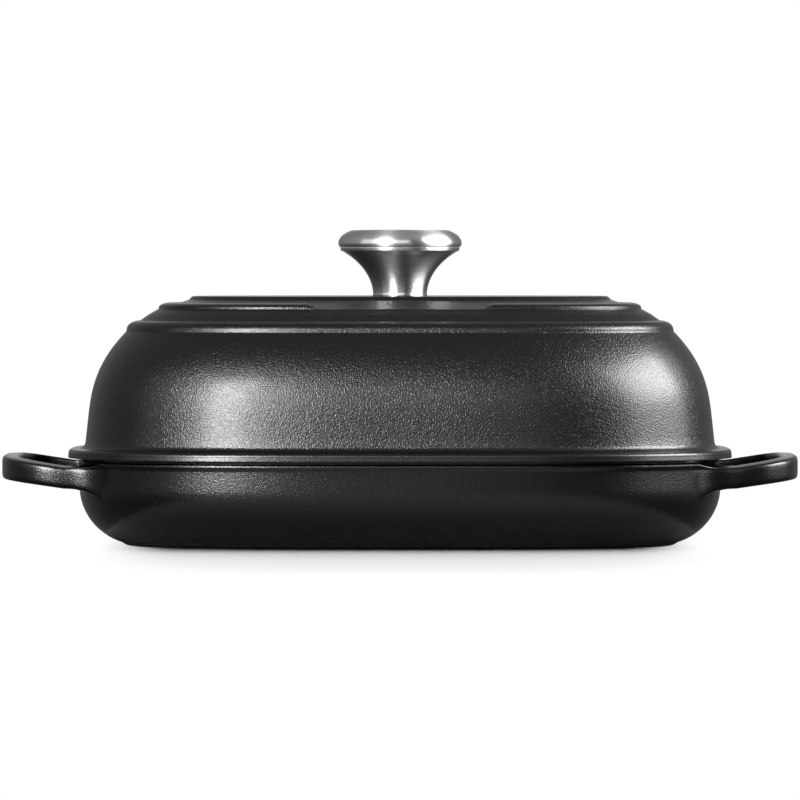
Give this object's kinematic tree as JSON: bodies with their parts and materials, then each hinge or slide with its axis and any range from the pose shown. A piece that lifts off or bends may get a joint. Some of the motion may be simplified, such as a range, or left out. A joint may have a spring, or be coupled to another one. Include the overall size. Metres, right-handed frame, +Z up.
{
  "type": "oval dutch oven",
  "caption": "Oval enamelled cast-iron dutch oven: a shallow pan with cast loop handles under a tall stepped dome lid with a flared steel knob.",
  "frame": {"origin": "on the table under the middle of the pan", "axes": "+X along the length through both handles, +Z up through the knob, -Y towards the front"},
  "size_m": [0.4118, 0.2568, 0.1625],
  "materials": {
    "black_enamel": "satin black enamel over a fine sand-cast texture",
    "knob_steel": "fine turned brushing",
    "plain_steel": "plain turned steel"
  },
  "bodies": {
    "pan": {"base_pan": "black_enamel"},
    "lid": {"lid_dome": "black_enamel", "knob_body": "knob_steel", "knob_cap": "knob_steel", "knob_insert": "plain_steel", "knob_screw": "plain_steel", "lid_washer": "plain_steel"}
  },
  "joints": [
    {"name": "lid_lift", "type": "slide", "parent": "pan", "child": "lid", "axis": [0, 0, 1], "range_m": [0, 0.15]}
  ]
}
